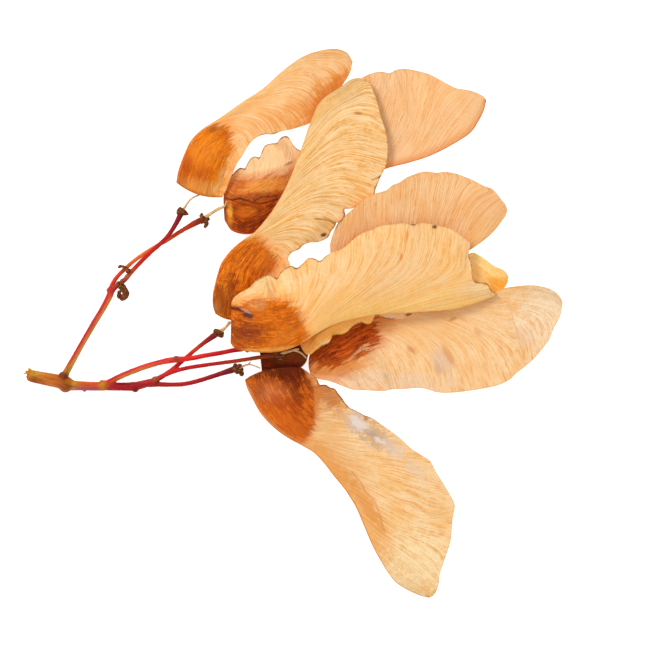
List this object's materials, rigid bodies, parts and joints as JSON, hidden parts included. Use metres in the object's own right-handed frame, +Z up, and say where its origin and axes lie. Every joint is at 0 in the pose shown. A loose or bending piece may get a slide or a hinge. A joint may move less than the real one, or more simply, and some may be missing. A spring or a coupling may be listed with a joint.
{
  "type": "maple samara",
  "caption": "Cut cluster of dried winged maple seeds on one branched stalk, lying flat on a surface.",
  "frame": {"origin": "centre of the bounding box, on the surface that the cluster lies on", "axes": "+Z up from the surface, the stalk's torn foot towards -X, the highest wings towards +Y"},
  "size_m": [0.0972, 0.0988, 0.0071],
  "materials": {
    "samara_top_left": "dry papery wing, satin seed case",
    "samara_top_right": "dry papery wing, satin seed case",
    "samara_tall": "dry papery wing, satin seed case",
    "samara_right_upper": "dry papery wing, satin seed case",
    "samara_tucked": "dry papery wing, satin seed case",
    "samara_long": "dry papery wing, satin seed case",
    "samara_right_lower": "dry papery wing, satin seed case",
    "samara_bottom": "dry papery wing, satin seed case",
    "bark": "satin red bark",
    "thread": "dry straw",
    "dry_flower": "matt dry brown"
  },
  "bodies": {
    "root": {"cup_bottom": "dry_flower", "cup_long": "dry_flower", "cup_pair": "dry_flower", "cup_right_upper": "dry_flower", "cup_top_left": "dry_flower", "cup_top_right": "dry_flower", "dried_bud_lower": "dry_flower", "dried_bud_upper": "dry_flower", "samara_bottom": "samara_bottom", "samara_long": "samara_long", "samara_right_lower": "samara_right_lower", "samara_right_upper": "samara_right_upper", "samara_tall": "samara_tall", "samara_top_left": "samara_top_left", "samara_top_right": "samara_top_right", "samara_tucked": "samara_tucked", "stalk": "bark", "thread_bottom": "thread", "thread_long": "thread", "thread_pair": "thread", "thread_right_upper": "thread", "thread_top_left": "thread", "thread_top_right": "thread"}
  },
  "joints": []
}
